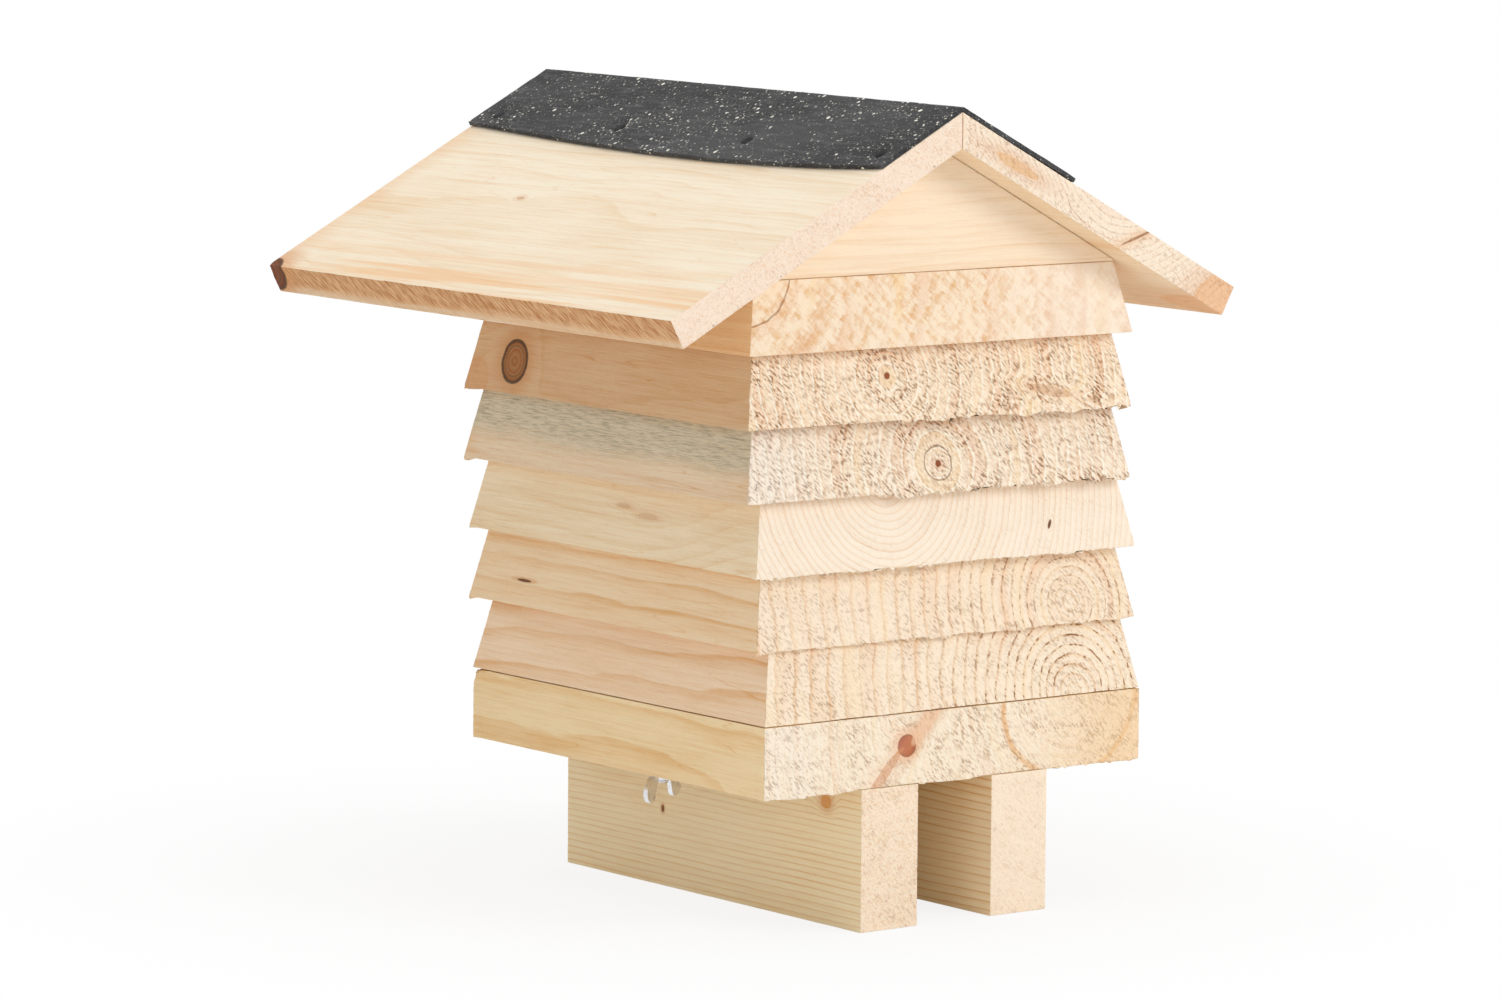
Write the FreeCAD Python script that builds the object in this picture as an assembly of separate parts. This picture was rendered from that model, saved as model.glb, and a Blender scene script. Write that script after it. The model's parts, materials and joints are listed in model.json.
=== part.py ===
import FreeCAD, Part
import math
import os

# Solitary-bee hive: sawn softwood tiers clamped on a plinth by two long bolts,
# under a mitred board roof with a felt ridge strip.
# Millimetres. +X runs across the gable, +Y back along the ridge, +Z up.
# Everything is laid out from the middle of the hive body at floor level, and
# moved at the end so that the origin is on the floor under the roof's middle.

# ---- Plank stock and hive body
plank_thickness = 30.0
body_width = 200.0
body_depth = 208.0
tier_count = 6
tier_flare = 6.2            # how far each tier's foot stands out from its top edge
stack_gap = 0.3             # rough-sawn faces meet on their high spots

# ---- How each saw-cut tier lies on the bolts: shift in X, shift in Y, twist in degrees
lid_lie = (-3.4, 3.2, -1.05)
tier_lies = {
    1: lid_lie,
    2: (-3.9, 3.0, -1.1),
    3: (-3.7, 3.4, -1.0),
    4: (-0.6, 3.2, -0.6),
    5: (-0.4, 3.4, -0.5),
    6: (0.0, 0.3, 0.1),
}

# ---- Foot rails
rail_height = 60.0
rail_thickness = 30.0
rail_gap = 39.0

# ---- Nest channels, cut in the top of the plinth and of every tier but the first
channel_count = 5
channel_pitch = 24.0
channel_width = 8.0
channel_depth = 8.0
channel_back_wall = 50.0    # solid wood left between a channel and the blind gable

# ---- Roof
roof_pitch = 28.3
roof_board_thickness = 13.5
roof_slope_length = 166.5
verge_blind = 10.2          # overhang beyond the body at the blind gable
verge_nest = 83.8           # deep porch over the nest channels
gable_thickness = 13.5
gable_foot_height = 1.0

# ---- Roofing felt
felt_thickness = 2.0
felt_left = 50.0
felt_right = 67.0
felt_nail_inset = 11.5      # from each end of the roof
felt_nails_per_side = 4
felt_nail_edge = 12.5       # from the felt's lower edge
felt_nail_head_radius = 3.0
felt_nail_head_height = 0.8
felt_nail_shank_radius = 1.2
felt_nail_length = 13.0

# ---- Nails that hold the roof boards down on the gable boards
roof_nail_slope_places = (30.0, 42.0)
roof_nail_head_radius = 2.4
roof_nail_head_height = 1.0
roof_nail_shank_radius = 1.3
roof_nail_length = 38.0

# ---- Countersunk wood screws
wood_fit = 0.05             # wood stands this far off a nail or screw
point_ratio = 2.0           # length of a nail's or screw's point to its radius
cross_slot_ratio = 1.2      # length of a slot to the head's radius
cross_slot_width = 0.9
cross_slot_depth = 1.3
rail_screw_grip = 30.0      # length in the rail, below the plinth board
rail_screw_radius = 2.5
rail_screw_head_radius = 4.7
rail_screw_end_inset = 34.0
gable_screw_grip = 20.0     # length in the gable board, above the first tier
gable_screw_radius = 2.0
gable_screw_head_radius = 3.9
gable_screw_spacing = 100.0

# ---- M6 coach bolts, washers and wing nuts
bolt_inset = 25.0           # from the body's side faces
bolt_radius = 3.0
bolt_end_stand = 1.4        # threads standing out of the wing nut
bolt_head_radius = 8.0
bolt_head_height = 3.6
bolt_neck_side = 6.0
bolt_neck_length = 4.0
neck_fit = 0.1
bolt_hole_radius = 3.6
thread_fit = 0.05
washer_outer_radius = 9.0
washer_inner_radius = 3.2
washer_thickness = 1.6
wing_hub_base_radius = 6.2
wing_hub_top_radius = 5.0
wing_hub_height = 5.2
wing_reach = 14.5
wing_height = 14.0
wing_tip_radius = 4.0
wing_thickness = 2.2
wing_root_bite = 1.0        # the wings run into the hub to this far off the bolt
wing_foot_height = 1.0
wing_shoulder_inset = 0.6
wing_sweep = (3.2, 3.0)     # a point on the outer curve, out from the hub's foot and up
wing_crotch = (0.6, 2.2)    # a point on the inner curve, out from the hub's top and up
wing_tip_arc = (-30, 60, 150)
wing_rest_angle = 24.5

# ---- Worked out from the values above
pitch = math.radians(roof_pitch)
plinth_floor = rail_height
plinth_top = plinth_floor + plank_thickness
lid_tier_top = plinth_top + tier_count * (stack_gap + plank_thickness)
lid_tier_floor = lid_tier_top - plank_thickness
tier_top_half_width = body_width / 2 - tier_flare
tier_top_half_depth = body_depth / 2 - tier_flare
inner_ridge = lid_tier_top + gable_foot_height + tier_top_half_width * math.tan(pitch)
outer_ridge = inner_ridge + roof_board_thickness / math.cos(pitch)
roof_blind_end = -(body_depth / 2 + verge_blind)
roof_nest_end = body_depth / 2 + verge_nest
rail_centre = (rail_gap + rail_thickness) / 2
bolt_reach = body_width / 2 - bolt_inset
bolt_length = lid_tier_top - plinth_floor + washer_thickness + wing_hub_height + bolt_end_stand
rail_screw_length = plank_thickness + rail_screw_grip
gable_screw_length = plank_thickness + gable_screw_grip


def place(shape, lie):
    """Turn a shape about the hive's middle, then shift it, as it lies on the stack."""
    shift_x, shift_y, twist = lie
    moved = shape.copy()
    moved.rotate(FreeCAD.Vector(0, 0, 0), FreeCAD.Vector(0, 0, 1), twist)
    moved.translate(FreeCAD.Vector(shift_x, shift_y, 0))
    return moved


def frame_origin():
    """The floor point under the middle of the roof."""
    shift_x, shift_y, twist = lid_lie
    reach = (roof_nest_end + roof_blind_end) / 2
    turn = math.radians(twist)
    return FreeCAD.Vector(shift_x - reach * math.sin(turn), shift_y + reach * math.cos(turn), 0)


def save(node, solids):
    """Write one named sub-part, moved into the part's own frame."""
    shape = solids[0] if len(solids) == 1 else Part.makeCompound(solids)
    shape.translate(-frame_origin())
    shape.exportStep("parts/" + node + ".step")


def block(width, depth, height, floor, centre_x=0.0, centre_y=0.0):
    """A square-edged block, centred in plan."""
    corner = FreeCAD.Vector(centre_x - width / 2, centre_y - depth / 2, floor)
    return Part.makeBox(width, depth, height, corner)


def rod(radius, length, x, y, floor):
    return Part.makeCylinder(radius, length, FreeCAD.Vector(x, y, floor))


def rectangle(half_width, half_depth, height):
    corners = [(-1, -1), (1, -1), (1, 1), (-1, 1), (-1, -1)]
    points = [FreeCAD.Vector(sx * half_width, sy * half_depth, height) for sx, sy in corners]
    return Part.makePolygon(points)


def prism(outline, start, length):
    """An outline in X and Z, run back along Y."""
    points = [FreeCAD.Vector(x, start, z) for x, z in outline + outline[:1]]
    return Part.Face(Part.makePolygon(points)).extrude(FreeCAD.Vector(0, length, 0))


def turned(outline):
    """A turned solid about Z from an outline of radius and height."""
    points = [FreeCAD.Vector(r, 0, z) for r, z in outline + outline[:1]]
    face = Part.Face(Part.makePolygon(points))
    return face.revolve(FreeCAD.Vector(0, 0, 0), FreeCAD.Vector(0, 0, 1), 360)


# ---- Fasteners

def countersunk_form(radius, head_radius, length, slack=0.0):
    """Screw outline with its head at height 0 and its point down; slack makes its hole."""
    cone = head_radius - radius
    point = point_ratio * radius
    return turned([
        (0, 0), (head_radius + slack, 0), (radius + slack, -cone),
        (radius + slack, -(length - point)), (0, -length - slack),
    ])


def countersunk_screw(radius, head_radius, length):
    """A wood screw with a cross recess in its head."""
    screw = countersunk_form(radius, head_radius, length)
    slot_length = cross_slot_ratio * head_radius
    for size_x, size_y in ((slot_length, cross_slot_width), (cross_slot_width, slot_length)):
        screw = screw.cut(block(size_x, size_y, cross_slot_depth, -cross_slot_depth))
    return screw


def nail_form(head_radius, head_height, shank_radius, length, slack=0.0):
    """Nail with the underside of its head at height 0 and its point down."""
    point = point_ratio * shank_radius
    return turned([
        (0, head_height + slack), (head_radius + slack, head_height + slack),
        (head_radius + slack, 0), (shank_radius + slack, 0),
        (shank_radius + slack, -(length - point)), (0, -length - slack),
    ])


def bolt_places():
    """Side name and X of each long bolt; both stand at the middle of the depth."""
    return (("left", -bolt_reach), ("right", bolt_reach))


def coach_bolt(x):
    """Cup head and square neck on top of the first tier, plain shank down through the stack."""
    dome_radius = (bolt_head_radius ** 2 + bolt_head_height ** 2) / (2 * bolt_head_height)
    dome = Part.makeSphere(dome_radius, FreeCAD.Vector(0, 0, bolt_head_height - dome_radius))
    head = dome.common(rod(bolt_head_radius, bolt_head_height, 0, 0, 0))
    neck = block(bolt_neck_side, bolt_neck_side, bolt_neck_length, -bolt_neck_length)
    shank = rod(bolt_radius, bolt_length, 0, 0, -bolt_length)
    bolt = head.fuse([neck, shank]).removeSplitter()
    bolt.translate(FreeCAD.Vector(x, 0, lid_tier_top))
    return bolt


def washer(x):
    floor = plinth_floor - washer_thickness
    disc = rod(washer_outer_radius, washer_thickness, x, 0, floor)
    return disc.cut(rod(washer_inner_radius, washer_thickness, x, 0, floor))


def wing_outline():
    """One wing, seen from the side: a foot on the hub that sweeps up to a round tip."""
    tip = FreeCAD.Vector(wing_reach - wing_tip_radius, 0, wing_height - wing_tip_radius)
    foot = FreeCAD.Vector(bolt_radius + wing_root_bite, 0, wing_foot_height)
    shoulder = FreeCAD.Vector(wing_hub_top_radius - wing_shoulder_inset, 0, wing_hub_height)
    rise = FreeCAD.Vector(wing_hub_base_radius + wing_sweep[0], 0, wing_sweep[1])
    hollow = FreeCAD.Vector(wing_hub_top_radius + wing_crotch[0], 0, wing_hub_height + wing_crotch[1])

    def on_tip(angle):
        turn = math.radians(angle)
        return tip + FreeCAD.Vector(math.cos(turn), 0, math.sin(turn)) * wing_tip_radius

    outer, crown, inner = [on_tip(angle) for angle in wing_tip_arc]
    return Part.Face(Part.Wire([
        Part.Arc(foot, rise, outer).toShape(),
        Part.Arc(outer, crown, inner).toShape(),
        Part.Arc(inner, hollow, shoulder).toShape(),
        Part.LineSegment(shoulder, foot).toShape(),
    ]))


def wing_nut(x):
    """Wing nut, screwed up against the washer with its wings pointing down."""
    hub = Part.makeCone(wing_hub_base_radius, wing_hub_top_radius, wing_hub_height)
    blade = wing_outline()
    blade.translate(FreeCAD.Vector(0, -wing_thickness / 2, 0))
    wing = blade.extrude(FreeCAD.Vector(0, wing_thickness, 0))
    other_wing = wing.copy()
    other_wing.rotate(FreeCAD.Vector(0, 0, 0), FreeCAD.Vector(0, 0, 1), 180)
    nut = hub.fuse([wing, other_wing])
    nut = nut.cut(rod(bolt_radius + thread_fit, wing_height, 0, 0, 0)).removeSplitter()
    nut.rotate(FreeCAD.Vector(0, 0, 0), FreeCAD.Vector(1, 0, 0), 180)
    nut.rotate(FreeCAD.Vector(0, 0, 0), FreeCAD.Vector(0, 0, 1), wing_rest_angle)
    nut.translate(FreeCAD.Vector(x, 0, plinth_floor - washer_thickness))
    return nut


# ---- Stand: two foot rails screwed under the plinth

def rail_screw_places():
    end = body_depth / 2 - rail_screw_end_inset
    return [(sx * rail_centre, sy * end) for sx in (-1, 1) for sy in (-1, 1)]


def rail_screw_set(slack=None):
    """The four screws, or with a slack the solids that cut their holes."""
    solids = []
    for x, y in rail_screw_places():
        if slack is None:
            screw = countersunk_screw(rail_screw_radius, rail_screw_head_radius, rail_screw_length)
        else:
            screw = countersunk_form(rail_screw_radius, rail_screw_head_radius, rail_screw_length, slack)
        screw.translate(FreeCAD.Vector(x, y, plinth_top))
        solids.append(screw)
    return solids


def foot_rail(side):
    rail = block(rail_thickness, body_depth, rail_height, 0, side * rail_centre)
    return rail.cut(rail_screw_set(wood_fit))


def bolt_holes():
    """Clearance holes for both bolts, the full height of the stack."""
    height = lid_tier_top - plinth_floor
    return [rod(bolt_hole_radius, height, x, 0, plinth_floor) for _, x in bolt_places()]


def nest_channels(top):
    """Grooves open at the nest gable, cut down from the face at this height."""
    start = -body_depth / 2 + channel_back_wall
    length = 2 * body_depth
    grooves = []
    for number in range(channel_count):
        x = (number - (channel_count - 1) / 2) * channel_pitch
        grooves.append(block(channel_width, length, channel_depth, top - channel_depth,
                             x, start + length / 2))
    return grooves


def plinth_board():
    board = block(body_width, body_depth, plank_thickness, plinth_floor)
    return board.cut(bolt_holes() + nest_channels(plinth_top) + rail_screw_set(wood_fit))


# ---- Tiers, numbered from the roof down

def tier_floor(number):
    return plinth_top + stack_gap + (tier_count - number) * (plank_thickness + stack_gap)


def bevelled_plank(number):
    """A plank whose four edges are sawn to flare outwards to its foot."""
    floor = tier_floor(number)
    foot = rectangle(body_width / 2, body_depth / 2, floor)
    head = rectangle(tier_top_half_width, tier_top_half_depth, floor + plank_thickness)
    return place(Part.makeLoft([foot, head], True, True), tier_lies[number])


def nest_tier(number):
    plank = bevelled_plank(number)
    return plank.cut(bolt_holes() + nest_channels(tier_floor(number) + plank_thickness))


def lid_tier():
    """The first tier: it carries the roof and the bolt heads."""
    socket_side = bolt_neck_side + 2 * neck_fit
    socket_depth = bolt_neck_length + neck_fit
    cuts = bolt_holes() + gable_screw_set(wood_fit)
    for _, x in bolt_places():
        cuts.append(block(socket_side, socket_side, socket_depth, lid_tier_top - socket_depth, x))
    return bevelled_plank(1).cut(cuts)


# ---- Roof

def gable_middles():
    """Name and middle, along Y, of the gable board at each end."""
    reach = tier_top_half_depth - gable_thickness / 2
    return (("blind", -reach), ("nest", reach))


def gable_screw_set(slack=None):
    """Screws driven up through the first tier into the gable boards."""
    solids = []
    for _, middle in gable_middles():
        for side in (-1, 1):
            size = (gable_screw_radius, gable_screw_head_radius, gable_screw_length)
            screw = countersunk_screw(*size) if slack is None else countersunk_form(*size, slack)
            screw.rotate(FreeCAD.Vector(0, 0, 0), FreeCAD.Vector(1, 0, 0), 180)
            screw.translate(FreeCAD.Vector(side * gable_screw_spacing / 2, middle, lid_tier_floor))
            solids.append(place(screw, lid_lie))
    return solids


def on_slope(shape, side, down_slope, y):
    """Stand a shape, made about Z with height 0 on the roof's face, square on one slope."""
    tilted = shape.copy()
    tilted.rotate(FreeCAD.Vector(0, 0, 0), FreeCAD.Vector(0, 1, 0), side * roof_pitch)
    x = side * down_slope * math.cos(pitch)
    tilted.translate(FreeCAD.Vector(x, y, outer_ridge - down_slope * math.sin(pitch)))
    return place(tilted, lid_lie)


def roof_nail_set(slack=0.0):
    """Nails through the roof boards into the gable boards, heads flush under the felt."""
    nail = nail_form(roof_nail_head_radius, roof_nail_head_height,
                     roof_nail_shank_radius, roof_nail_length, slack)
    nail.translate(FreeCAD.Vector(0, 0, -roof_nail_head_height))
    return [on_slope(nail, side, down_slope, middle)
            for _, middle in gable_middles()
            for side in (-1, 1)
            for down_slope in roof_nail_slope_places]


def felt_nail_set(slack=0.0):
    """Clout nails along both lower edges of the felt."""
    nail = nail_form(felt_nail_head_radius, felt_nail_head_height,
                     felt_nail_shank_radius, felt_nail_length, slack)
    nail.translate(FreeCAD.Vector(0, 0, felt_thickness))
    run = roof_nest_end - roof_blind_end - 2 * felt_nail_inset
    nails = []
    for side, reach in ((-1, felt_left), (1, felt_right)):
        for number in range(felt_nails_per_side):
            y = roof_blind_end + felt_nail_inset + run * number / (felt_nails_per_side - 1)
            nails.append(on_slope(nail, side, reach - felt_nail_edge, y))
    return nails


def gable_board(middle):
    """The triangle between the first tier and the underside of the roof."""
    peak = (0, inner_ridge)
    eaves = lid_tier_top + gable_foot_height
    outline = [(-tier_top_half_width, lid_tier_top), (tier_top_half_width, lid_tier_top),
               (tier_top_half_width, eaves), peak, (-tier_top_half_width, eaves)]
    board = place(prism(outline, middle - gable_thickness / 2, gable_thickness), lid_lie)
    return board.cut(gable_screw_set(wood_fit) + roof_nail_set(wood_fit))


def roof_board(side):
    """A board from the mitred ridge to a square-cut eave."""
    run = roof_slope_length * math.cos(pitch)
    drop = roof_slope_length * math.sin(pitch)
    inset = roof_board_thickness * math.sin(pitch)
    sink = roof_board_thickness * math.cos(pitch)
    outline = [(0, outer_ridge), (side * run, outer_ridge - drop),
               (side * (run - inset), outer_ridge - drop - sink), (0, inner_ridge)]
    board = place(prism(outline, roof_blind_end, roof_nest_end - roof_blind_end), lid_lie)
    return board.cut(roof_nail_set(wood_fit) + felt_nail_set(wood_fit))


def felt_cap():
    """One strip of roofing felt, bent over the ridge."""
    def edge(side, reach, lift):
        x = reach * math.cos(pitch) + lift * math.sin(pitch)
        return (side * x, outer_ridge - reach * math.sin(pitch) + lift * math.cos(pitch))

    peak = outer_ridge + felt_thickness / math.cos(pitch)
    outline = [edge(-1, felt_left, 0), (0, outer_ridge), edge(1, felt_right, 0),
               edge(1, felt_right, felt_thickness), (0, peak), edge(-1, felt_left, felt_thickness)]
    strip = place(prism(outline, roof_blind_end, roof_nest_end - roof_blind_end), lid_lie)
    return strip.cut(felt_nail_set(wood_fit))


# ---- Build every named piece

os.makedirs("parts", exist_ok=True)

for side_name, side in (("left", -1), ("right", 1)):
    save("foot_rail_" + side_name, [foot_rail(side)])
    save("roof_board_" + side_name, [roof_board(side)])

save("plinth_board", [plinth_board()])
save("rail_screws", rail_screw_set())

save("tier_1", [lid_tier()])
for number in range(2, tier_count + 1):
    save("tier_%d" % number, [nest_tier(number)])

for gable_name, middle in gable_middles():
    save("gable_board_" + gable_name, [gable_board(middle)])
save("gable_screws", gable_screw_set())
save("roof_nails", roof_nail_set())
save("ridge_felt", [felt_cap()])
save("felt_nails", felt_nail_set())

for side_name, x in bolt_places():
    save("coach_bolt_" + side_name, [coach_bolt(x)])
    save("washer_" + side_name, [washer(x)])
    save("wing_nut_" + side_name, [wing_nut(x)])
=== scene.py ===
import json
import math

import bmesh
import bpy
import numpy as np
from mathutils import Matrix, Vector, noise


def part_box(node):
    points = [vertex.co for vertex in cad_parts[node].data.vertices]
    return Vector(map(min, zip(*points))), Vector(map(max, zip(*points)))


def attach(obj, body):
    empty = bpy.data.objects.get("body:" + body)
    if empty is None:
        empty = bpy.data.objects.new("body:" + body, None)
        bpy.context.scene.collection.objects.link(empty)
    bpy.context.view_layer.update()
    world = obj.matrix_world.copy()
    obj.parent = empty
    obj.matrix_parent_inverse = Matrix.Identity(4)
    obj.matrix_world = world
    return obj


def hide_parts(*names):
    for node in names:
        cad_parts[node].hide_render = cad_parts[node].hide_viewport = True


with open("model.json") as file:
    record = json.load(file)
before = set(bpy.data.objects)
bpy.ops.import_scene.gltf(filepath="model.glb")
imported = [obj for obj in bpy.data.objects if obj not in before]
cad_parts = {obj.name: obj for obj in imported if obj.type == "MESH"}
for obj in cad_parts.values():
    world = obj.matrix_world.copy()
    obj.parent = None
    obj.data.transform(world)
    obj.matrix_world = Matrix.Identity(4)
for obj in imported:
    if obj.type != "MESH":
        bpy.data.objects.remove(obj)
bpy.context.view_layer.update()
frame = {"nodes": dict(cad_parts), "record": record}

# A solitary-bee hive in untreated softwood: sawn tiers, a board roof with a felt ridge strip,
# zinc-plated bolts and wing nuts. Metres; +X across the gable, +Y along the ridge, +Z up.

MM = 0.001


# ---- Shader sums -------------------------------------------------------------------------

class Wire:
    """A shader socket that takes part in ordinary arithmetic."""

    def __init__(self, bench, socket):
        self.bench = bench
        self.socket = socket

    def out(self, name):
        return Wire(self.bench, self.socket.node.outputs[name])

    def math(self, operation, *others):
        return self.bench.node("ShaderNodeMath", {"operation": operation}, [self, *others])

    def __add__(self, other):
        return self.math("ADD", other)

    def __sub__(self, other):
        return self.math("SUBTRACT", other)

    def __rsub__(self, other):
        return self.bench.node("ShaderNodeMath", {"operation": "SUBTRACT"}, [other, self])

    def __mul__(self, other):
        return self.math("MULTIPLY", other)

    def __truediv__(self, other):
        return self.math("DIVIDE", other)

    def __pow__(self, other):
        return self.math("POWER", other)

    __radd__ = __add__
    __rmul__ = __mul__

    def root(self):
        return self.math("SQRT")

    def size(self):
        return self.math("ABSOLUTE")

    def wrap(self):
        return self.math("FRACT")

    def smaller(self, other):
        return self.math("MINIMUM", other)

    def larger(self, other):
        return self.math("MAXIMUM", other)

    def ramp(self, low, high, start=0.0, end=1.0):
        """Smoothly from start to end as the value goes from low to high."""
        return self.bench.node("ShaderNodeMapRange", {"interpolation_type": "SMOOTHSTEP"},
                               [self, low, high, start, end])


class Bench:
    """The empty node tree of a new material or world, with ways to fill it."""

    def __init__(self, owner):
        owner.use_nodes = True
        self.owner = owner
        self.tree = owner.node_tree
        self.tree.nodes.clear()

    def node(self, kind, settings=None, inputs=None):
        """Adds a node: its settings first, then its sockets by name or in order."""
        made = self.tree.nodes.new(kind)
        for name, value in (settings or {}).items():
            setattr(made, name, value)
        pairs = inputs.items() if isinstance(inputs, dict) else enumerate(inputs or [])
        for key, value in pairs:
            if isinstance(value, Wire):
                self.tree.links.new(value.socket, made.inputs[key])
            else:
                made.inputs[key].default_value = value
        shown = [socket for socket in made.outputs if socket.enabled]
        return Wire(self, shown[0]) if shown else made

    def blend(self, amount, first, second, way="MIX"):
        """Mixes two colours."""
        return self.node("ShaderNodeMix", {"data_type": "RGBA", "blend_type": way, "clamp_factor": True},
                         {0: amount, 6: first, 7: second})

    def place(self, x, y, z):
        return self.node("ShaderNodeCombineXYZ", None, [x, y, z])

    def cloud(self, where, scale, detail, roughness):
        return self.node("ShaderNodeTexNoise", {"noise_dimensions": "3D"},
                         {"Vector": where, "Scale": scale, "Detail": detail, "Roughness": roughness})

    def patches(self, x, y, z, detail=2.0, roughness=0.5):
        """Soft noise whose patches are one unit wide along each of the three given values."""
        return self.cloud(self.place(x, y, z), 1.0, detail, roughness)

    def finish(self, sockets, height, lift):
        """Ends the material in one Principled shader; lift is how far height 1 stands out."""
        normal = self.node("ShaderNodeBump", None, {"Strength": 1.0, "Distance": lift, "Height": height})
        shader = self.node("ShaderNodeBsdfPrincipled", None, {**sockets, "Normal": normal})
        self.node("ShaderNodeOutputMaterial", None, {"Surface": shader})
        return self.owner


def new_bench(name):
    return Bench(bpy.data.materials.new(name))


def tint(red, green, blue):
    """A colour as seen on a screen, 0 to 255, made linear for a socket."""
    return tuple(((c / 255 + 0.055) / 1.055) ** 2.4 for c in (red, green, blue)) + (1.0,)


def deeper(colour, amount=1.0):
    """The same wood, darker and warmer."""
    fall = (0.15, 0.36, 0.58)
    return tuple(c * (1 - f * amount) for c, f in zip(colour, fall)) + (1.0,)


GRAIN_LIFT = 0.35 * MM
SCRATCH_LIFT = 0.03 * MM


# ---- Timber ------------------------------------------------------------------------------

FLECK = tint(168, 132, 98)
HAIR = tint(126, 119, 96)
# Pale cream of the wood, also used as a painted highlight on torn end-grain fibres.
PALE_CREAM_AND_PAINTED_HIGHLIGHT = tint(255, 246, 228)
PINK_BAND = tint(246, 222, 206)
YELLOW_BAND = tint(253, 243, 218)
PITH = tint(150, 84, 50)
EDGE_TAN = tint(232, 184, 134)
SAW_LINE = tint(206, 166, 124)
KNOT_GLOW = (214, 144, 84)
KNOT_BEND = 1.5
WAVER = 16.0
HEARTWOOD = 20.0
EAVE_FOOT = (-43.0, -39.0)


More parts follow.
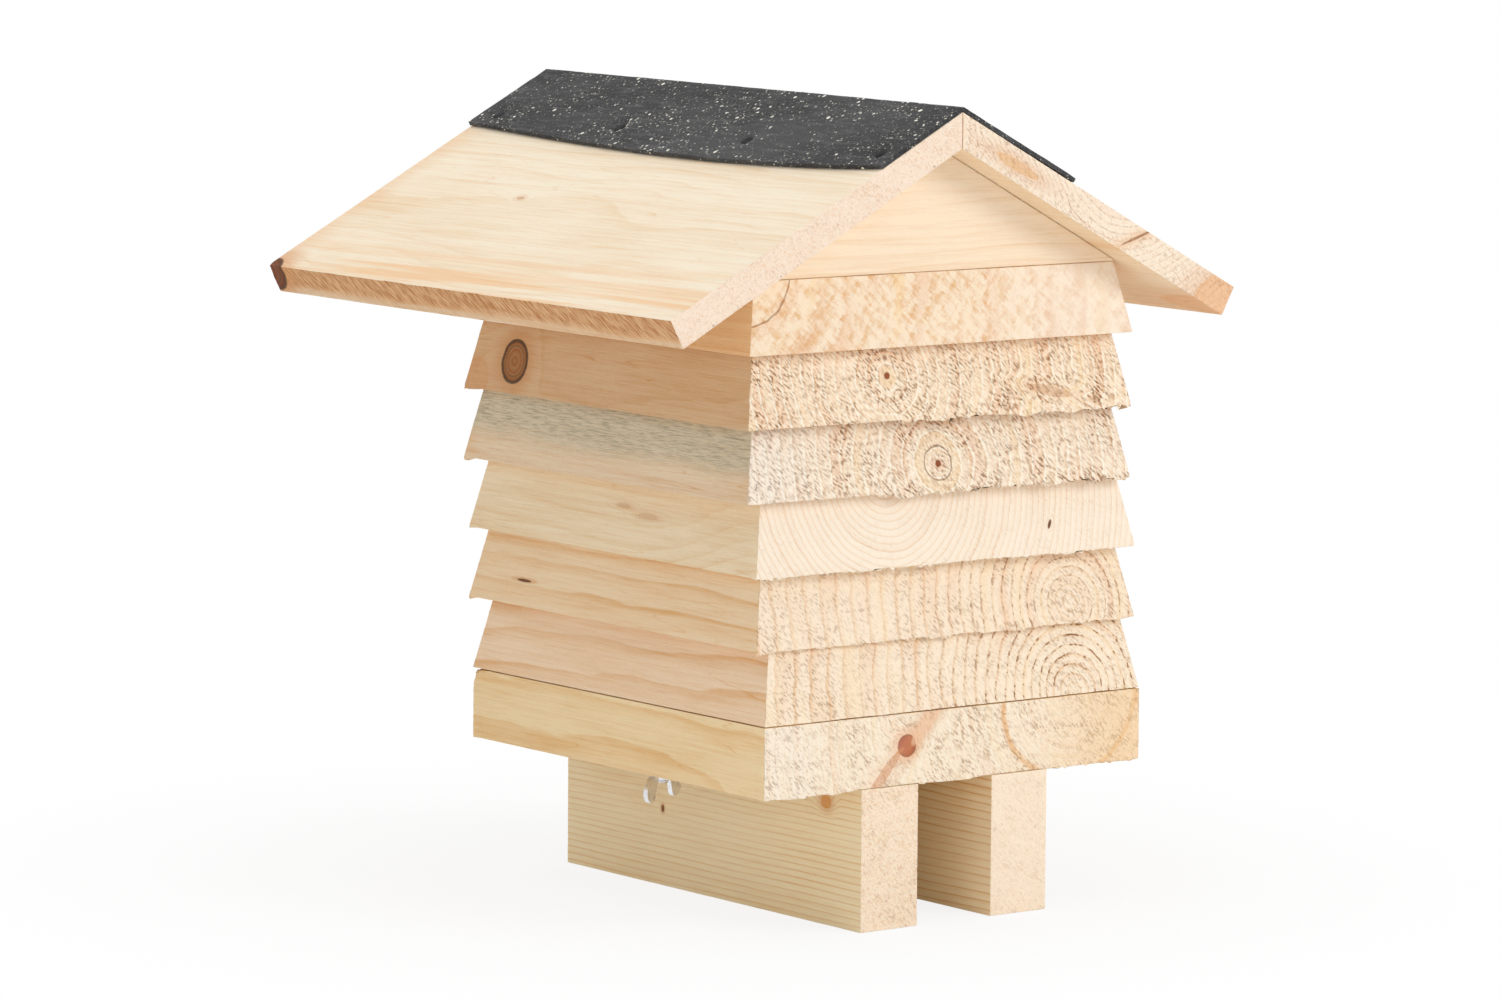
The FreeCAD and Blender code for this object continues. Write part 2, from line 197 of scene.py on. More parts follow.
def timber(name, middle, reach, heart=(0.0, -40.0), spacing=4.0, widening=0.0, grain="Y", drift=3.0,
           long=(249, 232, 206), end=(249, 230, 203), bands=0.5, end_bands=0.5, blush=0.25, lines=0.3,
           sharp=0.0, torn=0.4, dash=0.0, mottle=0.0, hatch=0.0, ring_at=0.0, ring_tone=None, dot=0.0,
           lean=0.0, speckle=0.3, knots=(), stains=(), fibres=0.0, seed=0.0):
    """Softwood cut from a log whose heart runs along the grain.

    The log: middle is the board's middle in metres, reach its half length in mm, and every other
    measure is in mm from that middle. heart is where the log's heart lies, spacing the width of a
    year's growth near it, widening how fast the growth widens further out, drift how far the heart
    wanders along the board, and lean how far the side faces slant across the growth.

    Long faces: long is their colour, bands how dark their growth shows, sharp how thin its dark
    lines are, lines how plain the fine fibres are, hatch the saw marks on the eave edge.

    Ends: end is their colour, end_bands how dark their rings are, blush how pink and yellow the
    rings go, torn how rough the saw left them and how strong the painted highlight beside the tears is,
    dash how open the rings' dark pores are, speckle the fine pores, dot the pith's spot, mottle how far
    crossing saw marks break the rings up.
    One single ring lies ring_at mm from the heart, in ring_tone if that is given.

    knots: where each lies, its radii, tilt in degrees and colour, perhaps a darker rim, the glow
    round it, how far that halo goes, its strength, and how plain its own rings are (growth).
    stains: the axis each goes across, from where it starts to where it is full, its colour and
    strength, waver as its edge's unevenness, streaky or not, on the ends or on the long faces.
    fibres is how plain the loose grey fibres inside a stain are.
    """
    bench = new_bench(name)
    spot = bench.node("ShaderNodeTexCoord")
    split = bench.node("ShaderNodeSeparateXYZ", None, [spot.out("Object")])
    x, y, z = [(split.out(axis) - middle[number]) * 1000 for number, axis in enumerate("XYZ")]
    facing = bench.node("ShaderNodeSeparateXYZ", None, [spot.out("Normal")])
    if grain == "X":
        x, y = y, x
    end_face = facing.out(grain).size().ramp(0.6, 0.85)
    long_face = 1 - end_face

    # The heart wanders along the grain, away from the blind gable.
    away = (y + reach).ramp(4.0, 90.0)
    wander = bench.patches(x * 0.012 + seed, y * 0.004, z * 0.012)
    sway = bench.node("ShaderNodeSeparateXYZ", None, [wander.out("Color")])
    shift = away * (drift * 8)
    ripple = bench.patches(x * 0.05, y * 0.008 + seed, z * 0.05, 3.0, 0.6)
    heart_x = x - heart[0] + (sway.out("X") - 0.5) * shift
    heart_z = z - heart[1] + (sway.out("Y") - 0.5) * shift
    radius = (heart_x * heart_x + heart_z * heart_z).root()
    power = 1 - widening
    rings = radius / spacing
    if widening:
        beyond = (radius.larger(HEARTWOOD) ** power) * (HEARTWOOD ** widening / (power * spacing))
        rings = radius.smaller(HEARTWOOD) / spacing + beyond - HEARTWOOD / (power * spacing)
    rings = rings + (ripple - 0.5) * (0.35 * drift)
    if lean:
        rings = rings + (z * lean + (sway.out("X") - 0.5) * 5) * facing.out("X").size().ramp(0.6, 0.85)
    if mottle:
        rising = bench.patches((x + z) * 0.24, (x - z) * 0.07, seed, 2.0, 0.6)
        falling = bench.patches((x - z) * 0.2, (x + z) * 0.07, seed + 4, 2.0, 0.6)
        rings = rings + (rising + falling - 1.0) * (end_face * (1.3 * mottle))

    knot_paint = []
    for knot in knots:
        tilt = math.radians(knot.get("tilt", 0))
        a, b, c = [value - place for value, place in zip((x, y, z), knot["at"])]
        if tilt:
            a, c = a * math.cos(tilt) + c * math.sin(tilt), c * math.cos(tilt) - a * math.sin(tilt)
        a, b, c = [value / size for value, size in zip((a, b, c), knot["radii"])]
        far = (a * a + b * b + c * c).root()
        rough_far = far + (ripple - 0.5) * 0.55
        rings = rings + far.ramp(3.0, 0.6) * KNOT_BEND
        knot_paint.append((knot, rough_far))

    turn = rings.wrap()
    latewood = turn.ramp(0.3, 0.92) * turn.ramp(1.0, 0.94)
    late_line = turn.ramp(0.72, 0.92) * turn.ramp(1.0, 0.95)
    patchy = bench.patches(x * 0.03, y * 0.006 + 3.1, z * 0.03 + seed)

    # Long faces: streaks, fine fibres, broad darker patches and a few sharp lines.
    streak = bench.patches(x * 0.6, y * 0.012, z * 0.6 + seed, 4.0, 0.65)
    hair = bench.patches(x * 1.5, y * 0.045, z * 1.5, 3.0, 0.7)
    short = bench.patches(x * 1.3, y * 0.26, z * 1.3 + seed, 3.0, 0.75)
    broad = bench.patches(x * 0.02 + 9.0, y * 0.01 + seed, z * 0.05)
    contour = bench.patches(x * 0.1 + seed, y * 0.006, z * 0.1, 1.0, 0.4)
    fine_line = (contour * 5.0).wrap().ramp(0.05, 0.0) * patchy.ramp(0.42, 0.62)
    ring_share = latewood * (0.6 - 0.5 * sharp) + late_line * (0.5 + 0.5 * sharp)
    ring_share = ring_share * patchy.ramp(0.25, 0.7, 0.4, 1.0)
    long_depth = (ring_share * bands + streak.ramp(0.3, 0.8) * (0.3 + 0.2 * lines)
                  + hair.ramp(0.45, 0.75) * (0.16 + 0.3 * lines) + short.ramp(0.5, 0.8) * (0.1 + 0.22 * lines)
                  + broad.ramp(0.3, 0.75) * 0.22 + fine_line * lines - 0.16)
    long_base = tint(*long)
    colour = bench.blend(long_depth, long_base, deeper(long_base))

    # End grain: rings, pores and the slanting tears of the saw, with a painted highlight on the torn fibres
    # beside the tears.
    across = (x + z) * 0.7
    slanting = (x - z) * 0.7
    tears = bench.patches(across * 1.3 + seed, slanting * 0.38, y * 0.1, 2.0, 0.6)
    pores = bench.patches(x * 1.1, z * 1.1, y * 0.2 + seed, 3.0, 0.75)
    patch = bench.patches(x * 0.05 + seed, z * 0.08, y * 0.01)
    tone = bench.patches(rings * 0.6 + seed, z * 0.01, 4.0)
    flecks = tears.ramp(0.54, 0.64) * patch.ramp(0.35, 0.6, 0.35, 1.0) * tone.ramp(0.35, 0.6, 0.4, 1.0)
    end_depth = ((latewood * 0.25 + late_line * 0.6) * end_bands * tone.ramp(0.3, 0.7, 0.6, 1.2)
                 + pores.ramp(0.45, 0.75) * speckle + tears.ramp(0.35, 0.65) * (0.25 * torn)
                 + (patch - 0.5) * 0.25 - 0.05)
    if mottle:
        end_depth = end_depth + (rising.ramp(0.42, 0.6) + falling.ramp(0.42, 0.62) - 0.6) * (0.5 * mottle)
    end_base = tint(*end)
    end_colour = bench.blend(end_depth, end_base, deeper(end_base))
    end_colour = bench.blend(tone.ramp(0.48, 0.66) * blush, end_colour, PINK_BAND, "MULTIPLY")
    end_colour = bench.blend(tone.ramp(0.48, 0.32) * blush, end_colour, YELLOW_BAND, "MULTIPLY")
    if torn > 0.5:
        pale_line = turn.ramp(0.0, 0.05) * turn.ramp(0.18, 0.1)
        end_colour = bench.blend(pale_line * (0.75 * torn), end_colour, PALE_CREAM_AND_PAINTED_HIGHLIGHT)
        # Painted highlight: pale ticks beside the tears, where torn fibres would catch the light.
        end_colour = bench.blend(tears.ramp(0.45, 0.36) * (0.6 * torn), end_colour, PALE_CREAM_AND_PAINTED_HIGHLIGHT)
    end_colour = bench.blend(flecks * (0.9 * torn), end_colour, FLECK, "MULTIPLY")
    if dash:
        broken = bench.patches(x * 0.42, z * 0.42, seed)
        open_pores = turn.ramp(0.7, 0.9) * turn.ramp(1.0, 0.95) * broken.ramp(0.5, 0.6)
        ring_zone = radius.ramp(100.0, 28.0) * radius.ramp(4.0, 14.0)
        end_colour = bench.blend(open_pores * ring_zone * dash, end_colour, FLECK, "MULTIPLY")
    if ring_at:
        width = 0.6 if ring_tone is None else 2.0
        thin = (radius - ring_at + (ripple - 0.5) * 5).size().ramp(width, width * 0.3)
        thin = thin * patchy.ramp(0.3, 0.5, 0.35, 1.0)
        end_colour = bench.blend(thin * 0.7, end_colour, tint(*ring_tone) if ring_tone else FLECK, "MULTIPLY")
    if dot:
        end_colour = bench.blend(radius.ramp(1.9, 1.1) * dot, end_colour, PITH)
    colour = bench.blend(end_face, colour, end_colour)

    for stain in stains:
        span = {"x": x, "y": y, "z": z}[stain["across"]]
        where = (span + (broad - 0.5) * stain.get("waver", WAVER)).ramp(stain["start"], stain["full"])
        if stain.get("streaky"):
            bold = bench.patches(x * 0.22, y * 0.005, z * 0.22 + seed)
            where = where * bold.ramp(0.44, 0.62)
        amount = where * stain["strength"] * (end_face if stain.get("on_end") else long_face)
        colour = bench.blend(amount, colour, tint(*stain["colour"]))
        if fibres and not stain.get("on_end"):
            loose = bench.patches(x * 2.2, y * 0.1, z * 2.2, 3.0, 0.75)
            colour = bench.blend(amount * loose.ramp(0.44, 0.66) * fibres, colour, HAIR)
    if hatch:
        edge_face = facing.out("X").size().ramp(0.78, 0.86)
        marks = bench.patches((z - y) * 1.1, (z + y) * 0.12, seed, 3.0, 0.6)
        sawn_part = (z + (broad - 0.5) * 8).ramp(*EAVE_FOOT, 0.2, 1.0) * edge_face
        colour = bench.blend(edge_face * 0.45 + sawn_part * 0.5, colour, EDGE_TAN)
        colour = bench.blend(marks.ramp(0.4, 0.62) * sawn_part * hatch, colour, SAW_LINE, "MULTIPLY")
    for knot, rough_far in knot_paint:
        strength = knot.get("strength", 1.0)
        heart_colour = tint(*knot["colour"])
        halo = rough_far.ramp(knot.get("halo", 2.2), 0.8)
        colour = bench.blend(halo * (0.55 * strength), colour, tint(*knot.get("glow", KNOT_GLOW)))
        body = rough_far.ramp(1.05, 0.9)
        growth = (rough_far * 3.4).wrap().ramp(0.45, 0.9)
        colour = bench.blend(body * strength, colour, heart_colour)
        own_rings = body * growth * (strength * knot.get("growth", 1.0))
        colour = bench.blend(own_rings, colour, deeper(heart_colour, 0.9))
        if "rim" in knot:
            rim = (rough_far - 0.96).size().ramp(0.13, 0.04) * short.ramp(0.25, 0.5, 0.6, 1.0)
            inner = (rough_far - 0.72).size().ramp(0.07, 0.02) * 0.5
            colour = bench.blend(rim.larger(inner) * (0.9 * strength), colour, tint(*knot["rim"]))

    # The relief: fibres stand a little proud, tears and flecks lie deep.
    relief_long = latewood * 0.2 + streak * 0.4 + hair * 0.6 + short * 0.3
    relief_end = pores * 0.45 - flecks * (1.1 * torn) - tears * (0.5 * torn) + latewood * 0.25
    height = relief_long * long_face + relief_end * end_face
    return bench.finish({"Base Color": colour, "Roughness": 0.66 + streak * 0.16,
                         "Specular IOR Level": 0.25}, height, GRAIN_LIFT)


# ---- Felt and metal ----------------------------------------------------------------------

GRAINS = ((420.0, 0.945, (246, 242, 230)), (700.0, 0.88, (214, 210, 196)), (1100.0, 0.82, (164, 161, 152)))


def felt_finish():
    """Charcoal bitumen felt with pale mineral grains that lie thicker in drifts.

    Each size of grain has its cells to the metre, the share of cells left bare, and its colour.
    """
    bench = new_bench("mineral_felt")
    where = bench.node("ShaderNodeTexCoord").out("Object")
    split = bench.node("ShaderNodeSeparateXYZ", None, [where])
    x, y, z = [split.out(axis) * 1000 for axis in "XYZ"]
    drifts = bench.patches(x * 0.045, y * 0.022, z * 0.045, 3.0, 0.65)
    fine = bench.cloud(where, 1100.0, 3.0, 0.7)
    broad = bench.patches(x * 0.03, y * 0.012 + x * 0.02, z * 0.03, 3.0, 0.6)
    scuff = bench.patches(x * 0.5, y * 0.06 + x * 0.1, 2.0, 3.0, 0.6)
    colour = bench.blend(broad.ramp(0.35, 0.65), tint(45, 45, 46), tint(67, 67, 68))
    colour = bench.blend(scuff.ramp(0.48, 0.72) * 0.45, colour, tint(108, 108, 108))
    colour = bench.blend(fine.ramp(0.48, 0.75) * 0.6, colour, tint(112, 111, 109))
    height = fine * 0.5 + drifts * 0.4
    for cells, bare, shade in GRAINS:
        grains = bench.node("ShaderNodeTexVoronoi", {"feature": "F1"}, {"Vector": where, "Scale": cells})
        pick = bench.node("ShaderNodeSeparateXYZ", None, [grains.out("Color")])
        lot = pick.out("X") + (drifts - 0.5) * 0.6
        size = 0.2 + pick.out("Y") * 0.22
        grain = (grains.out("Distance") - size).ramp(0.06, -0.06) * lot.ramp(bare, bare + 0.03)
        colour = bench.blend(grain, colour, tint(*shade))
        height = height + grain * 0.5
    return bench.finish({"Base Color": colour, "Roughness": 0.82, "Specular IOR Level": 0.3},
                        height, GRAIN_LIFT)


def plated(name, colour, dull, roughness):
    """Plated steel with faint cloudy dulling."""
    bench = new_bench(name)
    where = bench.node("ShaderNodeTexCoord").out("Object")
    cloud = bench.cloud(where, 260.0, 3.0, 0.6)
    scratch = bench.cloud(where, 2400.0, 2.0, 0.6)
    mixed = bench.blend(cloud.ramp(0.4, 0.75), colour, dull)
    return bench.finish({"Base Color": mixed, "Metallic": 1.0,
                         "Roughness": cloud * 0.18 + roughness}, scratch, SCRATCH_LIFT)


# ---- Shapes taken from the frame's own pieces ------------------------------------------------

SAME_POINT = 0.002 * MM
FLAT = math.radians(0.5)


def middle_of(node):
    low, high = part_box(node)
    return (low + high) / 2


def body_of(node):
    for body, nodes in frame["record"]["behaviour"]["bodies"].items():
        if node in nodes:
            return body


def clean_copy(node):
    """A node's solid with whole flat faces."""
    shape = bmesh.new()
    shape.from_mesh(frame["nodes"][node].data)
    bmesh.ops.remove_doubles(shape, verts=shape.verts, dist=SAME_POINT)
    bmesh.ops.dissolve_limit(shape, angle_limit=FLAT, verts=shape.verts, edges=shape.edges)
    return shape


def turn_of(node):
    """How far a piece is turned in plan, from its longest edge, which follows the ridge."""
    shape = clean_copy(node)
    longest = max(shape.edges, key=lambda edge: edge.calc_length())
    run = longest.verts[1].co - longest.verts[0].co
    shape.free()
    return math.atan2(-run.x, run.y) if run.y > 0 else math.atan2(run.x, -run.y)


def islands(node):
    """The corners of each separate solid in a node."""
    shape = clean_copy(node)
    seen = set()
    groups = []
    for start in shape.verts:
        if start in seen:
            continue
        seen.add(start)
        group = [start]
        for vertex in group:
            for edge in vertex.link_edges:
                other = edge.other_vert(vertex)
                if other not in seen:
                    seen.add(other)
                    group.append(other)
        groups.append([vertex.co.copy() for vertex in group])
    shape.free()
    return groups


def finished(name, shape, node, material, crease=22):
    """Makes a piece from a bmesh in place of a node, riding on the node's body."""
    bmesh.ops.recalc_face_normals(shape, faces=shape.faces)
    mesh = bpy.data.meshes.new(name)
    shape.to_mesh(mesh)
    shape.free()
    mesh.materials.append(material)
    mesh.shade_smooth()
    mesh.set_sharp_from_angle(angle=math.radians(crease))
    piece = bpy.data.objects.new(name, mesh)
    bpy.context.scene.collection.objects.link(piece)
    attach(piece, body_of(node))
    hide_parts(node)
    return piece


# ---- Sawn boards ---------------------------------------------------------------------------

ARRIS_WIDTH = 0.45 * MM
SHORTEST_ARRIS = 12 * MM
FACE_CELL = 6.0 * MM
EAVE_CELLS = (0, 1.6 * MM, 1.3 * MM)
SAW_WAVE = 0.18


def ease_edges(shape):
    """Rounds the long arrises."""
    arrises = [edge for edge in shape.edges
               if len(edge.link_faces) == 2 and edge.calc_length() > SHORTEST_ARRIS
               and edge.calc_face_angle() > math.radians(20)]
    bmesh.ops.bevel(shape, geom=arrises, offset=ARRIS_WIDTH, segments=2, profile=0.6,
                    affect="EDGES", clamp_overlap=True)


def cut_strips(shape, faces, axis, low, high, steps):
    """Cuts faces across one axis into even strips, and gives back all the faces."""
    if steps < 2 or not faces:
        return faces
    share = steps // 2
    place = low + (high - low) * share / steps
    normal = Vector([float(number == axis) for number in range(3)])
    edges = list({edge for face in faces for edge in face.edges})
    corners = list({vertex for face in faces for vertex in face.verts})
    cut = bmesh.ops.bisect_plane(shape, geom=faces + edges + corners, dist=0.004 * MM,
                                 plane_co=normal * place, plane_no=normal)
    made = [item for item in cut["geom"] if isinstance(item, bmesh.types.BMFace)]
    near = [face for face in made if face.calc_center_median()[axis] < place]
    far = [face for face in made if face.calc_center_median()[axis] >= place]
    return (cut_strips(shape, near, axis, low, place, share)
            + cut_strips(shape, far, axis, place, high, steps - share))


def lattice(shape, faces, cells):
    """Cuts faces into cells of these sizes along X, Y and Z; 0 leaves an axis alone."""
    for axis, cell in enumerate(cells):
        if cell and faces:
            places = [vertex.co[axis] for face in faces for vertex in face.verts]
            low, high = min(places), max(places)
            faces = cut_strips(shape, faces, axis, low, high, round((high - low) / cell))


def saw_marks(shape, seed, tear, hatch):
    """Slow waves on every face, torn grain on the ends and saw lines on the eave edge, all cut in by mm."""
    shape.normal_update()
    moves = []
    for vertex in shape.verts:
        spot = vertex.co * 1000
        slow = noise.noise(spot * 0.035 + Vector((seed, 0, 0)))
        quick = noise.noise(spot * 0.16 + Vector((0, seed, 0)))
        depth = SAW_WAVE * (0.5 + 0.32 * slow + 0.32 * quick)
        across = (spot.x + spot.z) * 0.7
        slanting = (spot.x - spot.z) * 0.7
        if tear and abs(vertex.normal.y) > 0.6:
            strand = noise.noise(Vector((across * 0.8, slanting * 0.22, seed)))
            fine = noise.noise(Vector((across * 1.5, slanting * 0.6, seed + 5)))
            patch = noise.noise(Vector((spot.x * 0.04, spot.z * 0.07, seed)))
            depth += tear * (0.25 + 1.3 * max(0, strand) + 0.4 * fine) * (0.75 + 0.5 * patch)
        if hatch and abs(vertex.normal.x) > 0.8:
            line = noise.noise(Vector(((spot.z - spot.y) * 0.4, (spot.z + spot.y) * 0.05, seed)))
            depth += hatch * max(0, line)
        moves.append(vertex.normal * (-max(0, depth) * MM))
    for vertex, move in zip(shape.verts, moves):
        vertex.co += move


def knock(shape, low, high, knocks):
    """Pushes the wood in at knocked corners: which corner, the knock's reach and its depth, in mm."""
    middle, half = (low + high) / 2, (high - low) / 2
    for corner, reach, depth in knocks:
        place = (middle + half * Vector(corner)) * 1000
        for vertex in shape.verts:
            gap = vertex.co * 1000 - place
            nearness = 1 - gap.length / reach
            if nearness > 0:
                bite = depth * nearness * (1 + 0.6 * noise.noise(vertex.co * 900))
                vertex.co -= vertex.normal * (bite * MM)


FRAY_HEIGHT = 0.9 * MM
FRAY_REACH = 2.6 * MM


def fray_foot(shape, low, high, length, bare):
    """Draws out the fibres along the foot of both gable ends, but not over the bare spans of X."""
    for vertex in shape.verts:
        above = vertex.co.z - low.z
        inside = min(vertex.co.y - low.y, high.y - vertex.co.y)
        if above > FRAY_HEIGHT or inside > FRAY_REACH:
            continue
        x = vertex.co.x * 1000
        if any(start < x < stop for start, stop in bare):
            continue
        clump = 0.85 + 0.7 * noise.noise(Vector((x * 0.09, low.z * 900, 1.5)))
        fibre = abs(noise.noise(Vector((x * 0.83, low.z * 500, 0)))) * 2.2
        vertex.co.z -= length * max(0, clump) * (0.15 + fibre) * MM


def sawn_board(node, slot, material, seed, tear=0.1, hatch=0.0, fray=0.0, bare=(), knocks=(),
               end_cell=1.1):
    """A board with the saw's marks; the cells of its mesh are finer where the marks are."""
    shape = clean_copy(node)
    low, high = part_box(node)
    ease_edges(shape)
    lattice(shape, shape.faces[:], [FACE_CELL] * 3)
    shape.normal_update()
    ends = [face for face in shape.faces if abs(face.normal.y) > 0.9]
    lattice(shape, ends, (end_cell * MM, 0, end_cell * MM))
    if hatch:
        edges = [face for face in shape.faces if abs(face.normal.x) > 0.8 and abs(face.normal.x) < 0.95]
        lattice(shape, edges, EAVE_CELLS)
    saw_marks(shape, seed, tear, hatch)
    knock(shape, low, high, knocks)
    if fray:
        fray_foot(shape, low, high, fray, bare)
    finished(node + "_sawn", shape, node, material)


TIER = "sawn_pine"
ROOF = "roof_pine"
RAIL = "rail_pine"

# Each board: its kind of stock, how the saw left it, and its log, colours, knots and stains.
BOARDS = {
    # tier_1's long-face colour is darker and more orange than the lower tiers': partly its own tone, partly
    # painted shade from the roof's eave and painted light bounced between the boards.
    "tier_1": (TIER, dict(tear=0.12), dict(
        heart=(-100, 20), spacing=5.5, widening=0.2, mottle=1.0, torn=0.14, ring_at=23, blush=0.7,
        end=(249, 229, 203), end_bands=0.4, long=(246, 206, 158), bands=0.3, lines=0.5,
        stains=[dict(across="x", start=0, full=80, strength=0.5, colour=(252, 240, 224), on_end=True)])),
    # tier_2's long-face colour is darker than the other tiers': partly its own tone, partly painted shade
    # from the roof's eave.
    "tier_2": (TIER, dict(tear=0.55, fray=1.9), dict(
        heart=(-28.6, 3.5), spacing=5.4, torn=1.0, dot=1.0, end=(250, 229, 202), end_bands=0.4,
        long=(226, 192, 152), bands=0.3, lines=0.6, lean=0.03, blush=0.6,
        knots=[dict(at=(-100, 71, -1), radii=(60, 9.6, 9), colour=(172, 122, 78), rim=(72, 54, 42),
                    glow=(206, 142, 88), halo=2.1),
               dict(at=(-100, 98, -10), radii=(30, 10, 9), colour=(222, 156, 100), strength=0.3,
                    growth=0.2),
               dict(at=(55, -104, -7), radii=(13, 30, 2.2), tilt=-12, colour=(206, 150, 106),
                    glow=(238, 196, 154), strength=0.4, halo=2.4, growth=0.3)])),
    "tier_3": (TIER, dict(tear=0.6, fray=1.9), dict(
        heart=(-2.6, -4), spacing=6.2, torn=1.0, dot=1.0, ring_at=7.2, end=(249, 231, 208),
        end_bands=0.4, long=(244, 220, 188), bands=0.3, fibres=0.85, lines=0.9, lean=0.04, blush=0.5,
        stains=[dict(across="z", start=-9, full=3, strength=0.65, colour=(214, 207, 180)),
                dict(across="x", start=-50, full=-92, strength=0.35, colour=(252, 246, 236),
                     on_end=True)])),
    "tier_4": (TIER, dict(tear=0.1, fray=0.9), dict(
        heart=(-30, 21), spacing=3.0, torn=0.14, end=(251, 236, 216), end_bands=0.6, blush=0.15,
        long=(251, 231, 196), bands=0.3, lines=0.45, lean=0.05, speckle=0.2,
        knots=[dict(at=(54, -104, -3), radii=(0.7, 20, 2.0), tilt=-25, colour=(120, 84, 60), halo=1.4),
               dict(at=(-100, -22, 2), radii=(20, 7, 1.2), colour=(206, 160, 112), strength=0.3,
                    halo=3.0),
               dict(at=(-100, -4, 5), radii=(20, 5, 1.0), colour=(196, 150, 104), strength=0.3,
                    halo=3.0)])),
    "tier_5": (TIER, dict(tear=0.26, fray=1.1), dict(
        heart=(65, -6.6), spacing=3.9, widening=0.4, torn=0.5, dash=0.65, end=(251, 233, 209),
        end_bands=0.6, blush=0.4, long=(249, 222, 184), bands=0.65, lines=0.6, lean=0.13,
        knots=[dict(at=(-100, 66, -4), radii=(20, 5, 0.6), colour=(120, 84, 60), halo=2.4)])),
    "tier_6": (TIER, dict(tear=0.26, fray=0.2), dict(
        heart=(64.7, -13), spacing=3.9, widening=0.4, torn=0.5, dash=1.0, end=(251, 234, 210),
        end_bands=0.62, blush=0.4, long=(249, 220, 186), bands=0.65, lines=0.55, lean=0.1)),
    "plinth_board": (TIER, dict(tear=0.42, fray=0.9, bare=[(-53, -16), (16, 53)],
                                knocks=[((-1, 1, 1), 7, 2.2)]), dict(
        heart=(61.3, 15.6), spacing=4.6, torn=0.62, end=(251, 235, 211), end_bands=0.18, blush=0.3,
        long=(251, 225, 179), bands=0.5, lines=0.45, ring_at=36, ring_tone=(240, 200, 150), lean=0.06,
        speckle=0.35,
        stains=[dict(across="x", start=-62, full=-84, strength=0.25, colour=(252, 244, 232), on_end=True),
                dict(across="x", start=24, full=92, strength=0.6, colour=(243, 204, 154), on_end=True)],
        knots=[dict(at=(-26, -104, 1.4), radii=(4.8, 30, 4.8), colour=(172, 60, 12), rim=(128, 48, 16),
                    glow=(238, 180, 138), halo=2.2),
               dict(at=(-37, -104, -9), radii=(14, 30, 2.4), tilt=47, colour=(218, 154, 110),
                    glow=(242, 198, 164), strength=0.5, halo=4.0, growth=0.6),
               dict(at=(-15, -104, 11), radii=(13, 30, 3.4), tilt=50, colour=(244, 202, 166),
                    strength=0.55, growth=0.3)])),
    "foot_rail_left": (RAIL, dict(), dict(
        heart=(25, -110), spacing=2.7, torn=0.3, end=(251, 232, 208), end_bands=0.08, speckle=1.0,
        long=(252, 234, 196), bands=0.75, lines=0.2, sharp=0.8, blush=0.04, drift=1.2,
        knots=[dict(at=(-15, -80, 22), radii=(30, 3.6, 3.0), colour=(228, 168, 98), strength=0.8),
               dict(at=(-15, 34, 3.5), radii=(30, 1.0, 1.5), colour=(140, 100, 68), halo=2.4)])),
    "foot_rail_right": (RAIL, dict(), dict(
        heart=(-30, -90), spacing=3.4, torn=0.2, end=(252, 234, 210), end_bands=0.05, speckle=0.55,
        long=(253, 230, 192), bands=1.0, lines=0.3, sharp=0.8, blush=0.04, drift=1.2)),
    "roof_board_left": (ROOF, dict(hatch=0.3, end_cell=1.4, knocks=[((-1, 1, -0.8), 9, 2.0)]), dict(
        heart=(10, -90), spacing=4.0, torn=0.2, end=(249, 229, 209), end_bands=0.06, speckle=0.8,
        long=(252, 238, 214), bands=0.24, lines=0.3, hatch=0.9, blush=0.06,
        stains=[dict(across="x", start=-38, full=-64, strength=0.75, colour=(246, 200, 150),
                     streaky=True, waver=10),
                dict(across="y", start=132, full=152, strength=0.35, colour=(240, 190, 140))],
        knots=[dict(at=(-74, 152, -39), radii=(11, 11, 11), colour=(134, 82, 52), rim=(88, 56, 40),
                    halo=2.4),
               dict(at=(-10, 48, 12), radii=(1.4, 3, 20), colour=(206, 150, 104), strength=0.5)])),
    "roof_board_right": (ROOF, dict(hatch=0.3, end_cell=1.4), dict(
        heart=(14, 30), spacing=3.0, torn=0.4, dash=0.3, end=(250, 233, 212), end_bands=0.3,
        long=(250, 228, 196), bands=0.15, hatch=0.4, speckle=0.5, blush=0.15,
        knots=[dict(at=(62, -150, -36), radii=(22, 30, 9), tilt=28, colour=(236, 180, 128),
                    strength=0.55, halo=2.4, growth=0.3),
               dict(at=(18, -150, -10), radii=(0.6, 20, 10), tilt=-72, colour=(160, 104, 60),
                    glow=(236, 184, 130), strength=0.7, halo=8.0),
               dict(at=(-47, -150, 22), radii=(2.4, 20, 13), tilt=62, colour=(232, 182, 124),
                    strength=0.5, halo=2.6, growth=0.6)])),
    "gable_board_blind": (ROOF, dict(), dict(
        heart=(-30, -60), spacing=5.5, grain="X", long=(251, 230, 202), bands=0.2, lines=0.12)),
    "gable_board_nest": (ROOF, dict(), dict(
        heart=(40, -50), spacing=5.5, grain="X", long=(251, 230, 202), bands=0.2, lines=0.12)),
}

for number, (node, (stock, cut, look)) in enumerate(BOARDS.items()):
    low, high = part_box(node)
    reach = (high - low)[0 if look.get("grain") == "X" else 1] * 500
    material = timber(node + "_wood", tuple(middle_of(node)), reach, seed=number * 7.3, **look)
    sawn_board(node, stock, material, number * 3.7, **cut)


# ---- Roofing felt ---------------------------------------------------------------------------

ROOF_PITCH = math.radians(28.3)
FELT_THICKNESS = 2.0 * MM
LEFT_REACH = 46.6
LEFT_BOW = 8.0
RIGHT_REACH = 66.0
RIGHT_WANDER = 0.7
SWELL = 0.35
DIMPLE_WIDTH = 4.4 * MM
DIMPLE_DEPTH = 1.1
UNDERSIDE = 0.12
FELT_TOP = 1.95


